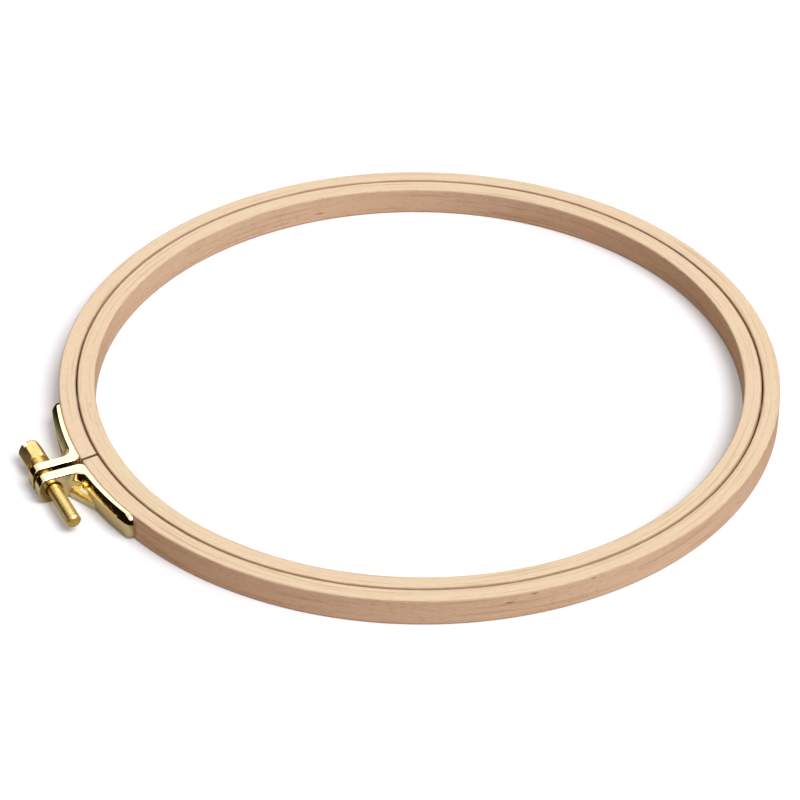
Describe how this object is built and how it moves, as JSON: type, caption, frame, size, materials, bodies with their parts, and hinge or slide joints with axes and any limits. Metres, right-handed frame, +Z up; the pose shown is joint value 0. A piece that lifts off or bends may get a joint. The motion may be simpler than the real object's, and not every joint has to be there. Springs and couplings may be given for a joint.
{
  "type": "embroidery hoop",
  "caption": "Wooden embroidery hoop: a solid inner ring held in a split outer ring that a brass clamp screw draws together or lets spring open.",
  "frame": {"origin": "centre of the hoop's opening at mid depth", "axes": "+Z up through the opening, +Y to the clamp, +X along the clamp screw towards its head"},
  "size_m": [0.2002, 0.2143, 0.008],
  "materials": {
    "beech_inner": "fine sanded, bare",
    "beech_outer": "fine sanded, bare",
    "bracket_brass": "bright plated",
    "screw_brass": "turned",
    "pin_steel": "plain"
  },
  "bodies": {
    "fixed_side": {"outer_ring_fixed_half": "beech_outer", "plain_bracket": "bracket_brass", "plain_bracket_root_pin": "pin_steel", "plain_bracket_tip_pin": "pin_steel"},
    "swing_side": {"outer_ring_swing_half": "beech_outer", "tapped_bracket": "bracket_brass", "tapped_bracket_root_pin": "pin_steel", "tapped_bracket_tip_pin": "pin_steel"},
    "inner_ring": {"inner_ring": "beech_inner"},
    "screw": {"clamp_screw": "screw_brass"}
  },
  "joints": [
    {"name": "screw_turn", "type": "hinge", "parent": "fixed_side", "child": "screw", "pos_m": [0, 0.10975, 0], "axis": [1, 0, 0], "range_deg": [0, 2880]},
    {"name": "clamp_open", "type": "hinge", "parent": "fixed_side", "child": "swing_side", "pos_m": [0, -0.1001, 0], "axis": [0, 0, 1], "range_deg": [0, 1.53]},
    {"name": "inner_ring_lift", "type": "slide", "parent": "fixed_side", "child": "inner_ring", "axis": [0, 0, 1], "range_m": [0, 0.03]}
  ],
  "couplings": [
    {"joint": "screw_turn", "follows": "clamp_open", "ratio": 1883.6}
  ]
}
